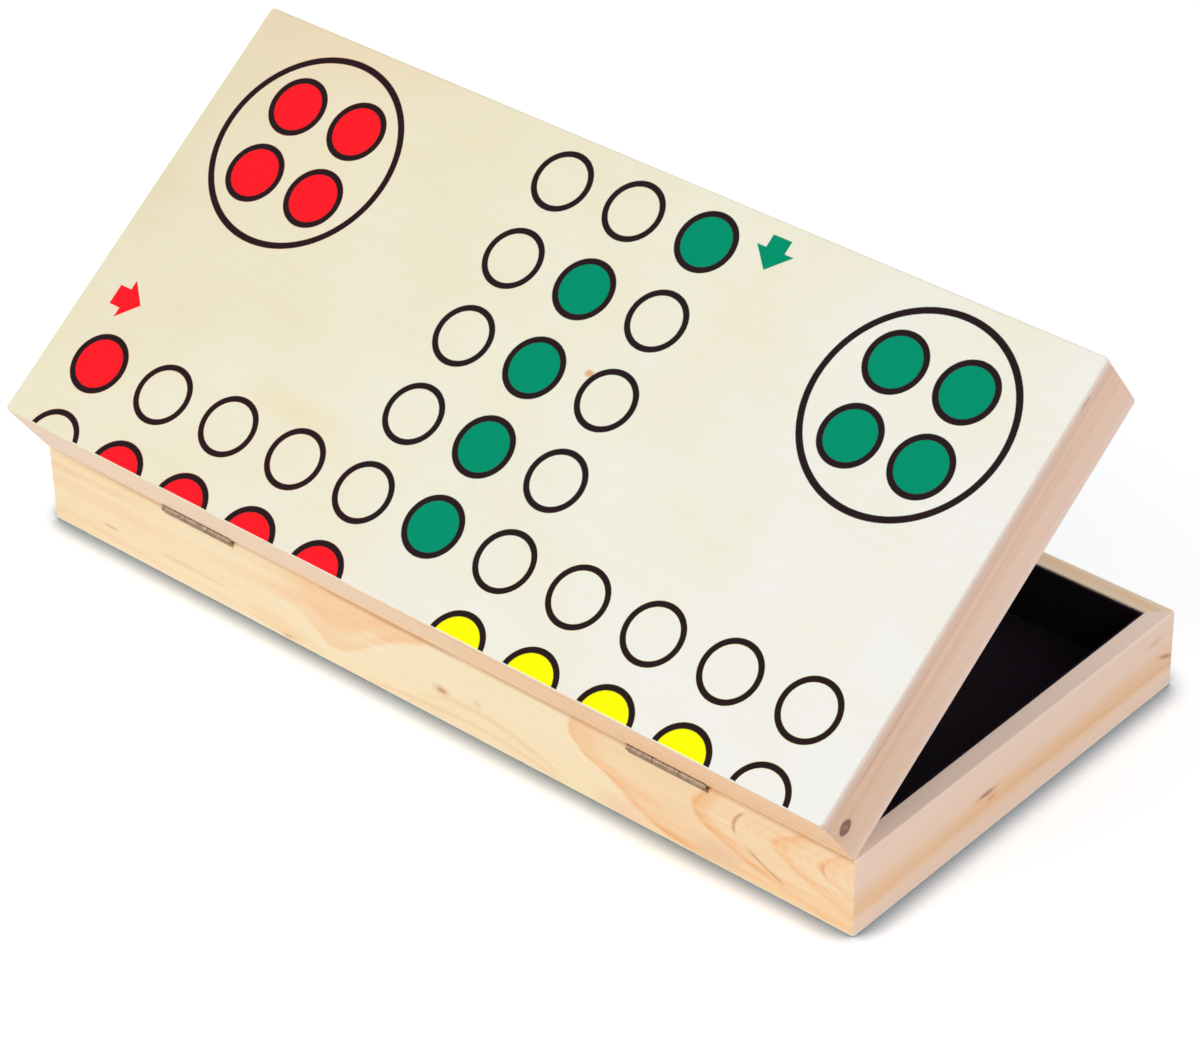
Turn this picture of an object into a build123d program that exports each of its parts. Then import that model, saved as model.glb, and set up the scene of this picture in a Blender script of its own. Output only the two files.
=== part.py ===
from build123d import *

import os

# A folding ludo board box: two shallow pine trays hinged along one long side, the spine. The flat outer face
# of each tray is half of the game board, so the two trays opened out flat make the whole square board.
#
# Millimetres and degrees. The origin is the centre of the base's underside, X runs along the spine, the spine
# faces -Y and +Z is up. Both halves are the same, so each piece is drawn as it lies in the base, with the
# board face down at z = 0 and the rim up. The lid's copy is then turned over onto it and swung open.

# The two halves
box_length = 240.0
half_width = 114.0
half_height = 20.0
wall_thickness = 5.0
panel_thickness = 3.0
corner_radius = 1.0
edge_radius = 0.6
rim_edge_radius = 0.3
mitre_overrun = 1.0

# How the halves meet, and how far the lid stands open at rest
rim_gap = 0.3
spine_gap = 0.3
lid_rest_angle = 35.0

# Felt lining
lining_thickness = 0.8
lining_setback = 0.4
lining_fit = 0.1

# Butt hinges let into the two spine rims
hinge_end_distance = 50.0
hinge_length = 22.0
hinge_leaf_width = 4.2
hinge_leaf_thickness = 0.4
hinge_pin_diameter = 0.9
pin_tight_clearance = 0.01
pin_running_clearance = 0.05
pin_end_chamfer = 0.15
knuckle_count = 3
knuckle_gap = 0.15
mortise_clearance = 0.1
barrel_clearance = 0.3
barrel_pocket_depth = 1.6

# Countersunk hinge screws
hinge_screws_per_leaf = 2
hinge_screw_spacing = 13.0
hinge_screw_diameter = 1.2
hinge_screw_head_diameter = 2.0
hinge_screw_length = 4.4
hinge_screw_slot_width = 0.3
hinge_screw_slot_depth = 0.2
screw_hole_clearance = 0.02

# Hook latch in the middle of the opening side
latch_rim_distance = 5.5
latch_screw_diameter = 1.8
latch_screw_length = 4.2
latch_neck_diameter = 2.0
latch_head_diameter = 4.0
latch_head_height = 1.0
latch_head_round = 0.7
latch_slot_width = 0.5
latch_slot_depth = 0.4
hook_thickness = 0.8
hook_boss_diameter = 4.8
hook_arm_width = 3.0
hook_end_diameter = 5.2
hook_tab_diameter = 2.4
hook_corner_radius = 0.3
hook_edge_radius = 0.2
hook_wall_gap = 0.2
hook_head_gap = 0.15
hook_pivot_clearance = 0.05
hook_catch_clearance = 0.15

# Places worked out from the sizes above
spine_face = -half_width / 2
opening_face = half_width / 2
inner_length = box_length - 2 * wall_thickness
inner_width = half_width - 2 * wall_thickness
hinge_axis_y = spine_face - spine_gap / 2
hinge_axis_z = half_height + rim_gap / 2
hinge_spacing = box_length - 2 * hinge_end_distance
bore_radius_tight = hinge_pin_diameter / 2 + pin_tight_clearance
bore_radius_running = hinge_pin_diameter / 2 + pin_running_clearance
barrel_radius = bore_radius_running + hinge_leaf_thickness
leaf_bottom = half_height - hinge_leaf_thickness
hinge_screw_y = spine_face + wall_thickness / 2
latch_screw_z = half_height - latch_rim_distance
latch_head_y = opening_face + hook_wall_gap + hook_thickness + hook_head_gap
hook_reach = 2 * latch_rim_distance + rim_gap
hook_slot_radius = latch_neck_diameter / 2 + hook_catch_clearance

hinge_line = Axis((0, hinge_axis_y, hinge_axis_z), (1, 0, 0))
turning_line = Axis((0, 0, hinge_axis_z), (0, 1, 0))


def block(x_span, y_span, z_span):
    """A box between two values on each axis."""
    size = [high - low for low, high in (x_span, y_span, z_span)]
    centre = [(low + high) / 2 for low, high in (x_span, y_span, z_span)]
    return Pos(*centre) * Box(*size)


def centred(length, middle=0.0):
    """The span of a length about its middle."""
    return middle - length / 2, middle + length / 2


def rod_along_x(radius, x_span, y, z):
    """A round rod that lies along X."""
    start, end = x_span
    return Pos((start + end) / 2, y, z) * Rot(0, 90, 0) * Cylinder(radius, end - start)


def as_closed_lid(shape):
    """Turns a piece drawn in the base over, into its place in the closed lid."""
    return shape.rotate(turning_line, 180)


def opened(shape):
    """Swings a piece of the closed lid up to the rest angle."""
    return shape.rotate(hinge_line, lid_rest_angle)


def on_lid(shape):
    """Puts a piece drawn in the base into its place in the open lid."""
    return opened(as_closed_lid(shape))


# Panel, walls and lining


def board_panel():
    """The plywood panel under the frame, whose underside is half of the board."""
    panel = block(centred(box_length), centred(half_width), (0, panel_thickness))
    panel = fillet(panel.edges().filter_by(Axis.Z), corner_radius)
    return fillet(panel.faces().sort_by(Axis.Z)[0].edges(), edge_radius)


def frame_ring():
    """The four walls of a half in one ring, with eased outer corners and rim."""
    z_span = (panel_thickness, half_height)
    ring = block(centred(box_length), centred(half_width), z_span)
    ring = fillet(ring.edges().filter_by(Axis.Z), corner_radius)
    ring = fillet(ring.faces().sort_by(Axis.Z)[-1].edges(), edge_radius)
    ring -= block(centred(inner_length), centred(inner_width), z_span)
    inner_rim = ring.faces().sort_by(Axis.Z)[-1].inner_wires()[0].edges()
    return fillet(inner_rim, rim_edge_radius)


def mitred_wall(ring, length_axis, side):
    """The wall of the ring on one side, cut at 45 degrees at both ends.

    length_axis is X for the spine and opening walls and Y for the end walls, and side is -1 or 1.
    """
    if length_axis == "X":
        half_length, distance = box_length / 2, half_width / 2
    else:
        half_length, distance = half_width / 2, box_length / 2
    corners = []
    for reach in (mitre_overrun, -wall_thickness - mitre_overrun):
        along = half_length + reach
        across = side * (distance + reach)
        ends = [(-along, across), (along, across)]
        corners += ends if reach > 0 else ends[::-1]
    if length_axis == "Y":
        corners = [(across, along) for along, across in corners]
    outline = make_face(Polyline(*corners, close=True))
    prism = extrude(outline, amount=half_height + mitre_overrun, dir=(0, 0, 1))
    return ring & prism


def floor_lining():
    """The felt on the inside of the panel."""
    z_span = (panel_thickness, panel_thickness + lining_thickness)
    return block(centred(inner_length - 2 * lining_fit), centred(inner_width - 2 * lining_fit), z_span)


def wall_lining():
    """The four felt strips on the inside of the walls, standing on the floor's felt."""
    z_span = (panel_thickness + lining_thickness, half_height - lining_setback)
    short_length = inner_width - 2 * (lining_thickness + lining_fit)
    strips = []
    for side in (-1, 1):
        long_y = side * (inner_width - lining_thickness) / 2
        short_x = side * (inner_length - lining_thickness) / 2
        long_span = centred(inner_length - 2 * lining_fit)
        strips.append(block(long_span, centred(lining_thickness, long_y), z_span))
        strips.append(block(centred(lining_thickness, short_x), centred(short_length), z_span))
    return Compound(children=strips)


# Hinges


def knuckle_spans(centre_x):
    """The X span of each knuckle of a hinge, with a gap between neighbours."""
    pitch = hinge_length / knuckle_count
    start = centre_x - hinge_length / 2
    spans = []
    for index in range(knuckle_count):
        low = start + index * pitch + (knuckle_gap / 2 if index > 0 else 0)
        high = start + (index + 1) * pitch - (knuckle_gap / 2 if index < knuckle_count - 1 else 0)
        spans.append((low, high))
    return spans


def hinge_screw_places(centre_x):
    """The X of each screw of a leaf."""
    first = centre_x - hinge_screw_spacing * (hinge_screws_per_leaf - 1) / 2
    return [first + index * hinge_screw_spacing for index in range(hinge_screws_per_leaf)]


def hinge_screw_shape(x, clearance=0.0):
    """A countersunk screw flush with the leaf, or its hole where there is a clearance."""
    shank_radius = hinge_screw_diameter / 2 + clearance
    head_radius = hinge_screw_head_diameter / 2 + clearance
    base_of_head = Pos(x, hinge_screw_y, leaf_bottom)
    head = base_of_head * Cone(
        shank_radius, head_radius, hinge_leaf_thickness, align=(Align.CENTER, Align.CENTER, Align.MIN)
    )
    shank_length = hinge_screw_length - hinge_leaf_thickness + clearance
    shank = base_of_head * Cylinder(
        shank_radius, shank_length, align=(Align.CENTER, Align.CENTER, Align.MAX)
    )
    return head + shank


def hinge_screw(x):
    """One hinge screw with its driver slot."""
    slot = block(
        centred(hinge_screw_slot_width, x),
        centred(hinge_screw_head_diameter, hinge_screw_y),
        (half_height - hinge_screw_slot_depth, half_height),
    )
    return hinge_screw_shape(x) - slot


def hinge_leaf(centre_x, first_knuckle, bore_radius):
    """One leaf with every second knuckle from first_knuckle on, and notches for the other leaf's."""
    leaf = block(
        centred(hinge_length, centre_x),
        (hinge_axis_y, hinge_axis_y + hinge_leaf_width),
        (leaf_bottom, half_height),
    )
    for index, (low, high) in enumerate(knuckle_spans(centre_x)):
        if index % 2 == first_knuckle:
            leaf += rod_along_x(barrel_radius, (low, high), hinge_axis_y, hinge_axis_z)
        else:
            leaf -= block(
                (low - knuckle_gap, high + knuckle_gap),
                (hinge_axis_y - barrel_radius, hinge_axis_y + barrel_radius + knuckle_gap),
                (leaf_bottom, half_height),
            )
    leaf -= rod_along_x(bore_radius, centred(hinge_length, centre_x), hinge_axis_y, hinge_axis_z)
    for x in hinge_screw_places(centre_x):
        leaf -= hinge_screw_shape(x, screw_hole_clearance)
    return leaf


def hinge_pin(centre_x):
    """The pin of one hinge, with chamfered ends."""
    pin = rod_along_x(hinge_pin_diameter / 2, centred(hinge_length, centre_x), hinge_axis_y, hinge_axis_z)
    return chamfer(pin.edges().filter_by(GeomType.CIRCLE), pin_end_chamfer)


def hinge_mortise(centre_x):
    """What is cut out of a spine wall for one hinge: the leaf's seat, the barrel's pocket and the holes."""
    x_span = centred(hinge_length + 2 * mortise_clearance, centre_x)
    seat = block(
        x_span,
        (spine_face, hinge_axis_y + hinge_leaf_width + mortise_clearance),
        (leaf_bottom, half_height),
    )
    pocket = block(
        x_span,
        (spine_face, hinge_axis_y + barrel_radius + barrel_clearance),
        (half_height - barrel_pocket_depth, half_height),
    )
    cut = seat + pocket
    for x in hinge_screw_places(centre_x):
        cut += hinge_screw_shape(x, screw_hole_clearance)
    return cut


# Latch


def latch_screw_shank(clearance=0.0):
    """The part of a latch screw that is in the opening wall, or its hole where there is a clearance."""
    depth = latch_screw_length + clearance
    shank = Cylinder(
        latch_screw_diameter / 2 + clearance, depth, align=(Align.CENTER, Align.CENTER, Align.MIN)
    )
    return Pos(0, opening_face, latch_screw_z) * Rot(90, 0, 0) * shank


def latch_screw():
    """The round-headed screw that the hook turns on, and its twin that the hook catches on."""
    align = (Align.CENTER, Align.CENTER, Align.MIN)
    neck = Cylinder(latch_neck_diameter / 2, latch_head_y - opening_face, align=align)
    head = Cylinder(latch_head_diameter / 2, latch_head_height, align=align)
    head = fillet(head.edges().sort_by(Axis.Z)[-1], latch_head_round)
    slot = block(
        centred(latch_head_diameter),
        centred(latch_slot_width),
        (latch_head_height - latch_slot_depth, latch_head_height),
    )
    facing_out = Rot(-90, 0, 0)
    neck = Pos(0, opening_face, latch_screw_z) * facing_out * neck
    head = Pos(0, latch_head_y, latch_screw_z) * facing_out * (head - slot)
    return latch_screw_shank() + neck + head


def latch_hook():
    """The stamped hook in the closed lid, parked level: it points along +X from its pivot.

    It turns down by a right angle to latch, and its slot is an arc about the pivot, open on that side.
    """
    catch = Pos(hook_reach, 0)
    plate = Circle(hook_boss_diameter / 2) + catch * Circle(hook_end_diameter / 2)
    plate += Pos(hook_reach / 2, 0) * Rectangle(hook_reach, hook_arm_width)
    plate += Pos(hook_reach, -hook_end_diameter / 2) * Circle(hook_tab_diameter / 2)
    arc_slot = Circle(hook_reach + hook_slot_radius) - Circle(hook_reach - hook_slot_radius)
    arc_slot &= Pos(hook_reach, hook_end_diameter / 2) * Rectangle(hook_end_diameter, hook_end_diameter)
    plate -= arc_slot
    plate -= catch * Circle(hook_slot_radius)
    plate -= Circle(latch_neck_diameter / 2 + hook_pivot_clearance)
    hook = extrude(plate, amount=hook_thickness)
    hook = fillet(hook.edges().filter_by(Axis.Z), hook_corner_radius)
    hook = fillet(hook.faces().sort_by(Axis.Z)[-1].outer_wire().edges(), hook_edge_radius)
    pivot_z = half_height + rim_gap + latch_rim_distance
    return Pos(0, opening_face + hook_wall_gap, pivot_z) * Rot(-90, 0, 0) * hook


# The whole box


def half_pieces():
    """The wooden pieces and the lining of one half, as they lie in the base."""
    ring = frame_ring()
    spine_wall = mitred_wall(ring, "X", -1)
    for centre_x in hinge_centres:
        spine_wall -= hinge_mortise(centre_x)
    return {
        "spine_wall": spine_wall,
        "opening_wall": mitred_wall(ring, "X", 1) - latch_screw_shank(screw_hole_clearance),
        "left_end_wall": mitred_wall(ring, "Y", -1),
        "right_end_wall": mitred_wall(ring, "Y", 1),
        "panel": board_panel(),
        "floor_lining": floor_lining(),
        "wall_lining": wall_lining(),
        "hinge_screws": Compound(
            children=[hinge_screw(x) for centre_x in hinge_centres for x in hinge_screw_places(centre_x)]
        ),
    }


hinge_centres = (-hinge_spacing / 2, hinge_spacing / 2)
other_side = {"left": "right", "right": "left"}
nodes = {}
for name, piece in half_pieces().items():
    nodes["base_" + name] = piece
    # Turning a half over to make the lid swaps its left and right.
    side = name.split("_")[0]
    lid_name = name.replace(side, other_side.get(side, side))
    nodes["lid_" + lid_name] = on_lid(piece)
for side, centre_x in zip(("left", "right"), hinge_centres):
    nodes[side + "_hinge_base_leaf"] = hinge_leaf(centre_x, 0, bore_radius_tight)
    nodes[side + "_hinge_lid_leaf"] = on_lid(hinge_leaf(-centre_x, 1, bore_radius_running))
    nodes[side + "_hinge_pin"] = hinge_pin(centre_x)
nodes["latch_catch_screw"] = latch_screw()
nodes["latch_pivot_screw"] = on_lid(latch_screw())
nodes["latch_hook"] = opened(latch_hook())

os.makedirs("parts", exist_ok=True)
for name, shape in nodes.items():
    export_step(shape, f"parts/{name}.step")
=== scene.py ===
import math

import bpy
from mathutils import Matrix, Vector, noise


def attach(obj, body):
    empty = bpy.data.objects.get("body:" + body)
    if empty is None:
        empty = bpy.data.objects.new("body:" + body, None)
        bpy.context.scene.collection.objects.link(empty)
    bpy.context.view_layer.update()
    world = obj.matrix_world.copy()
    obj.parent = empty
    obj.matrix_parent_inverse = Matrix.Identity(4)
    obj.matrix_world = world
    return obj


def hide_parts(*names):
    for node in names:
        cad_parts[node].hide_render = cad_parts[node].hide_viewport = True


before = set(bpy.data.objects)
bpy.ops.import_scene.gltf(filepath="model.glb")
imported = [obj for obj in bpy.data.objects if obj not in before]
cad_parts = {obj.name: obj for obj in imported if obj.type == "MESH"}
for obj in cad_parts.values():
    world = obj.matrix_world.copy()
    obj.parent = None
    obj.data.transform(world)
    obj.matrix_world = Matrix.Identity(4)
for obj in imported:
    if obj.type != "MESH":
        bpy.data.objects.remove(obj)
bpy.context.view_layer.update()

# A folding ludo board box standing open. The CAD nodes keep their shapes and get their finishes here. The
# felt linings are modelled here and stand for their nodes.

# Sizes of the box in millimetres
BOX_LENGTH = 240.0
HALF_WIDTH = 114.0
HALF_HEIGHT = 20.0
WALL = 5.0
PANEL = 3.0
HINGE_Y = -57.15
HINGE_Z = 20.15
LID_ANGLE = math.radians(35.0)
CLOSED_HEIGHT = 2 * HINGE_Z
SPINE_Y = -HALF_WIDTH / 2
END_X = BOX_LENGTH / 2

# The printed board. Its pitch is in millimetres, its turn is a slope and the rest is in pitches.
PITCH = 20.74
PRINT_TURN = 0.0051
PRINT_MIDDLE = 2.75
PRINT_SHIFT_X = -0.009
PRINT_SHIFT_Y = -0.049
TRACK_SIDE = 1.5
TRACK_START = 0.5
TRACK_END = 5.5
LANE_SIDE = 0.5
LANE_END = 4.5
RING_INNER = 0.2965
RING_OUTER = 0.37
HOME_CORNER = 2.0
HOME_X = 4.19
HOME_Y = 4.16
HOME_INNER = 1.13
HOME_OUTER = 1.21
HOME_SPACING = 0.447
ARROW_SIDE = 1.79
ARROW_TIP = 4.96
ARROW_NECK = 5.2
ARROW_TAIL = 5.36
ARROW_STEM = 0.12
ARROW_OVERLAP = 0.1
INK_BLUR = 0.006
INK_WANDER = 0.006
ARROW_WANDER = 0.012

# Felt, in millimetres but for the ripples
FELT = 0.8
FELT_FIT = 0.1
FELT_SETBACK = 0.4
FELT_CELL = 2.0
FELT_CUT = 0.18
FELT_RIPPLE = 0.08
FELT_RIPPLES_PER_METRE = 90.0

# How far from the box its contact shadow reaches, in metres
CONTACT_REACH = 0.008


def paint(red, green, blue):
    """An 8-bit display colour as the linear colour that the shaders take."""
    parts = [value / 255 for value in (red, green, blue)]
    linear = [p / 12.92 if p <= 0.04045 else ((p + 0.055) / 1.055) ** 2.4 for p in parts]
    return (*linear, 1.0)


WHITE = (1.0, 1.0, 1.0, 1.0)
BLACK = (0.0, 0.0, 0.0, 1.0)


# Shader nodes, written as sums

class Value:
    """One shader socket. A sum written with it becomes Math nodes."""

    def __init__(self, finish, socket):
        self.finish = finish
        self.socket = socket

    def calc(self, operation, *others):
        return self.finish.calc(operation, self, *others)

    def __add__(self, other):
        return self.finish.calc("ADD", self, other)

    def __radd__(self, other):
        return self.finish.calc("ADD", other, self)

    def __sub__(self, other):
        return self.finish.calc("SUBTRACT", self, other)

    def __rsub__(self, other):
        return self.finish.calc("SUBTRACT", other, self)

    def __mul__(self, other):
        return self.finish.calc("MULTIPLY", self, other)

    def __rmul__(self, other):
        return self.finish.calc("MULTIPLY", other, self)

    def __truediv__(self, other):
        return self.finish.calc("DIVIDE", self, other)

    def __pow__(self, power):
        return self.finish.calc("POWER", self, power)

    def __neg__(self):
        return self * -1.0

    def __abs__(self):
        return self.finish.calc("ABSOLUTE", self)

    def above(self, start, end):
        """0 up to start, then a smooth rise to 1 at end."""
        ends = {"Value": self, "From Min": start, "From Max": end}
        return self.finish.node("ShaderNodeMapRange", {"interpolation_type": "SMOOTHSTEP"}, ends)

    def below(self, start, end):
        """1 up to start, then a smooth fall to 0 at end."""
        return 1.0 - self.above(start, end)

    def within(self, low, high, blur):
        """1 between two values, with edges of a given softness."""
        return self.above(low - blur, low + blur) * self.below(high - blur, high + blur)

    def curve(self, points, x_range, y_range):
        """A curve through given points, each an x and a y in their own ranges."""
        (x_low, x_high), (y_low, y_high) = x_range, y_range
        x_span, y_span = x_high - x_low, y_high - y_low
        steps = [((x - x_low) / x_span, (y - y_low) / y_span) for x, y in points]
        place = (self - x_low) / x_span
        height = self.finish.node("ShaderNodeFloatCurve", {"points": steps}, {"Value": place})
        return height * y_span + y_low


class Shading:
    """The nodes of a material or of the world, in the making."""

    def __init__(self, owner, output):
        owner.use_nodes = True
        self.nodes = owner.node_tree.nodes
        self.links = owner.node_tree.links
        self.nodes.clear()
        self.surface = self.nodes.new(output).inputs["Surface"]

    @staticmethod
    def find(sockets, key):
        """A socket by its number, its identifier or its name."""
        if isinstance(key, int):
            return sockets[key]
        return next(s for s in sockets if key in (s.identifier, s.name))

    def node(self, kind, settings=None, inputs=None, output=0):
        """Adds a node: its settings first, then the values or links of its sockets."""
        made = self.nodes.new(kind)
        for name, value in (settings or {}).items():
            if name == "stops":
                self.set_stops(made.color_ramp, value)
            elif name == "points":
                self.set_points(made.mapping, value)
            else:
                setattr(made, name, value)
        for key, value in (inputs or {}).items():
            self.feed(self.find(made.inputs, key), value)
        return Value(self, self.find(made.outputs, output))

    def feed(self, socket, value):
        if isinstance(value, Value):
            self.links.new(value.socket, socket)
        else:
            socket.default_value = value

    @staticmethod
    def set_stops(ramp, stops):
        while len(ramp.elements) < len(stops):
            ramp.elements.new(1.0)
        for element, (place, colour) in zip(ramp.elements, stops):
            element.position = place
            element.color = colour

    @staticmethod
    def set_points(mapping, points):
        curve = mapping.curves[0]
        while len(curve.points) < len(points):
            curve.points.new(0.5, 0.5)
        for point, place in zip(curve.points, points):
            point.location = place
        mapping.update()

    def calc(self, operation, *values):
        return self.node("ShaderNodeMath", {"operation": operation}, dict(enumerate(values)))

    def ray(self, kind):
        """1 for one kind of ray, such as the camera's own, and 0 for the others."""
        return self.node("ShaderNodeLightPath", None, None, f"Is {kind} Ray")


class Finish(Shading):
    """A material in the making, with its Principled shader."""

    def __init__(self, name):
        self.material = bpy.data.materials.new(name)
        super().__init__(self.material, "ShaderNodeOutputMaterial")
        self.shader = self.nodes.new("ShaderNodeBsdfPrincipled")
        self.links.new(self.shader.outputs["BSDF"], self.surface)

    def distance(self, x, y):
        return self.calc("SQRT", x * x + y * y)

    def vector(self, x, y, z):
        return self.node("ShaderNodeCombineXYZ", None, {0: x, 1: y, 2: z})

    def parts(self, vector):
        """The three numbers of a vector."""
        made = self.nodes.new("ShaderNodeSeparateXYZ")
        self.links.new(vector.socket, made.inputs[0])
        return [Value(self, socket) for socket in made.outputs]

    def placed(self, vector, scale=(1, 1, 1), turn=(0, 0, 0), shift=(0, 0, 0)):
        """A Mapping node: scales, turns and then moves a pattern."""
        inputs = {"Vector": vector, "Scale": scale, "Rotation": turn, "Location": shift}
        return self.node("ShaderNodeMapping", None, inputs)

    def noise(self, vector, scale, detail=2.0, roughness=0.5):
        inputs = {"Vector": vector, "Scale": scale, "Detail": detail, "Roughness": roughness}
        return self.node("ShaderNodeTexNoise", None, inputs)

    def sway(self, vector, scale, shift=(0, 0, 0), detail=2.0, roughness=0.5):
        """Noise about zero, with its own scale along each axis."""
        return self.noise(self.placed(vector, scale=scale, shift=shift), 1.0, detail, roughness) - 0.5

    def colours(self, place, *stops):
        """A colour ramp. Each stop is a place from 0 to 1 and a colour."""
        return self.node("ShaderNodeValToRGB", {"stops": stops}, {0: place})

    def blend(self, first, second, amount, mode="MIX"):
        inputs = {"Factor_Float": amount, "A_Color": first, "B_Color": second}
        settings = {"data_type": "RGBA", "blend_type": mode}
        return self.node("ShaderNodeMix", settings, inputs, "Result_Color")

    def bump(self, height, depth):
        """Relief: height from 0 to 1 stands for a depth in millimetres."""
        return self.node("ShaderNodeBump", None, {"Height": height, "Distance": depth / 1000})

    def dress(self, **inputs):
        """Sets the shader's sockets and gives the material back. Underscores stand for spaces."""
        for name, value in inputs.items():
            self.feed(self.shader.inputs[name.replace("_", " ")], value)
        return self.material

    def place(self, on_lid):
        """Millimetres from the middle of the base's foot, with the lid swung shut."""
        point = self.node("ShaderNodeTexCoord", None, None, "Object")
        if not on_lid:
            return self.placed(point, scale=(1000, 1000, 1000))
        hinge = Vector((0, HINGE_Y, HINGE_Z))
        shift = hinge - Matrix.Rotation(-LID_ANGLE, 3, "X") @ hinge
        return self.placed(point, scale=(1000, 1000, 1000), turn=(-LID_ANGLE, 0, 0), shift=shift)


def board_point(finish, on_lid):
    """Across the board, from the fold, and below the face, all in millimetres, for either half."""
    x, y, z = finish.parts(finish.place(on_lid))
    return x, y - SPINE_Y, CLOSED_HEIGHT - z if on_lid else z


# Pine. A palette runs from pale early wood at 0 to dark late wood at 1.

# The pine's lit copy, with painted light, for the base's spine side
HONEY_LIT = (
    (0.0, paint(251, 239, 206)),
    (0.3, paint(251, 228, 190)),
    (0.6, paint(249, 208, 160)),
    (0.85, paint(243, 186, 130)),
    (1.0, paint(206, 146, 98)),
)
# The same pine's shaded copy, pinker and darker: painted shade on the base's right end
BLUSH_SHADED = (
    (0.0, paint(243, 218, 200)),
    (0.3, paint(243, 210, 184)),
    (0.6, paint(241, 196, 153)),
    (0.85, paint(229, 173, 128)),
    (1.0, paint(196, 140, 106)),
)
# A shaded copy, darker still: painted shade on the lid's right end
TAN_SHADED = (
    (0.0, paint(236, 207, 188)),
    (0.3, paint(235, 201, 177)),
    (0.6, paint(232, 191, 164)),
    (0.85, paint(220, 172, 144)),
    (1.0, paint(186, 138, 112)),
)
# A lit copy, paler: painted light from the floor's bounce on the lid's spine side
STRIP_LIT = (
    (0.0, paint(252, 231, 211)),
    (0.35, paint(252, 222, 191)),
    (0.65, paint(250, 208, 163)),
    (1.0, paint(241, 184, 134)),
)
QUIET = (
    (0.0, paint(248, 229, 204)),
    (0.3, paint(248, 220, 188)),
    (0.6, paint(246, 204, 160)),
    (0.85, paint(237, 181, 132)),
    (1.0, paint(202, 144, 102)),
)

# Tints of single marks in the wood, and of painted shadow and painted highlights
KNOT_RIM = paint(214, 150, 104)
KNOT_BROWN = paint(146, 94, 68)
END_KNOT = paint(138, 94, 72)
FAR_KNOT = paint(160, 108, 84)
PIN_KNOT = paint(116, 74, 66)
PIN_LIGHT = paint(172, 126, 108)
# Painted shadow of the lid just under the base's rim
SEAM_PAINTED_SHADOW = paint(192, 140, 100)
RIDGE_LINE = paint(232, 196, 136)
GREY_PATCH = paint(226, 184, 156)
PINK_PATCH = paint(244, 200, 172)
ROSY_LINE = paint(234, 192, 172)
BRACKET_BROWN = paint(186, 126, 84)
SLASH_BROWN = paint(188, 128, 88)
SMALL_BRACKET_BROWN = paint(204, 142, 94)
# A pale foot on the spine side: the lower arris's own paleness with a painted edge highlight
SPINE_FOOT_ARRIS_AND_HIGHLIGHT = paint(246, 236, 224)
# Painted light on the top of the base's right rim, lifting it out of the lid's shadow
END_RIM_PAINTED_LIGHT = paint(255, 228, 210)
END_LOW = paint(236, 210, 194)
# A pale foot on the right end: the lower arris's own paleness with a painted edge highlight
END_FOOT_ARRIS_AND_HIGHLIGHT = paint(246, 236, 228)
LID_END_TAN = paint(214, 174, 138)
LID_END_BAND = paint(208, 166, 144)
LID_END_LINE = paint(186, 140, 116)
LID_END_LONG_LINE = paint(204, 158, 130)
LID_END_RIM = paint(240, 217, 206)

# What fibres, streaks, flecks and marks do to the tone and to the surface's height
FIBRE_TONE = 0.4
STREAK_TONE = 0.45
FLECK_TONE = 0.16
FIBRE_HEIGHT = 0.8
FLECK_HEIGHT = 0.4
LATE_WOOD_HEIGHT = 0.35
MARK_HEIGHT = 0.3
PINE_RELIEF = 0.03


def pine_coat(finish, grain, warm, palette, marks=()):
    """Colour, height and fibres from how warm the figure is at each place."""
    fibre = finish.sway(grain, (0.045, 2.4, 2.4), detail=3.0, roughness=0.65)
    streak = finish.sway(grain, (0.012, 0.5, 0.5), (3.0, 7.0, 1.0))
    flecks = finish.noise(finish.placed(grain, scale=(0.3, 5.0, 5.0)), 1.0, 1.0).above(0.68, 0.8)
    darkest = palette[-1][1]
    colour = finish.colours(warm + fibre * FIBRE_TONE + streak * STREAK_TONE, *palette)
    colour = finish.blend(colour, darkest, flecks * FLECK_TONE)
    height = fibre * FIBRE_HEIGHT - flecks * FLECK_HEIGHT - warm * LATE_WOOD_HEIGHT
    for mask, tint, amount in marks:
        colour = finish.blend(colour, tint, mask * amount)
        height = height - mask * MARK_HEIGHT
    return colour, height, fibre


def pine_shader(finish, grain, warm, palette, marks=()):
    colour, height, fibre = pine_coat(finish, grain, warm, palette, marks)
    return finish.dress(
        Base_Color=colour,
        Roughness=0.5 + fibre * 0.2 - warm * 0.06,
        Normal=finish.bump(height, PINE_RELIEF),
        Specular_IOR_Level=0.35,
    )


def year_rings(field):
    """Late wood along each year's edge: a slow rise in tone, then a sharp fall."""
    year = field.calc("FRACT")
    return year.above(0.25, 0.92) * year.below(0.93, 1.0)


def oval(finish, x, y, middle, size, rough):
    """How far each place is from a mark's middle, with 1 at its rim."""
    return finish.distance((x - middle[0]) / size[0], (y - middle[1]) / size[1]) + rough


def layers(distance, *rows):
    """Marks about one middle. A row is where a mark starts to fade and ends, its tint and strength."""
    return [(distance.below(start, end), tint, amount) for start, end, tint, amount in rows]


def plain_pine(name, length_axis, on_lid, pith, spacing, taper):
    """A wall with long quiet grain. pith is where the log's middle lies beside the piece."""
    finish = Finish(name)
    x, fold, depth = board_point(finish, on_lid)
    along, through = (x, fold) if length_axis == "x" else (fold, x)
    grain = finish.vector(along, through, depth)
    wander = finish.sway(grain, (0.012, 0.03, 0.03), pith)
    radius = finish.distance(through - pith[1], depth - pith[2])
    field = (radius + wander * 9.0 + along * taper) / spacing
    warm = year_rings(field) * 0.34 + wander * 0.5 + 0.2
    return pine_shader(finish, grain, warm, QUIET)


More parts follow.
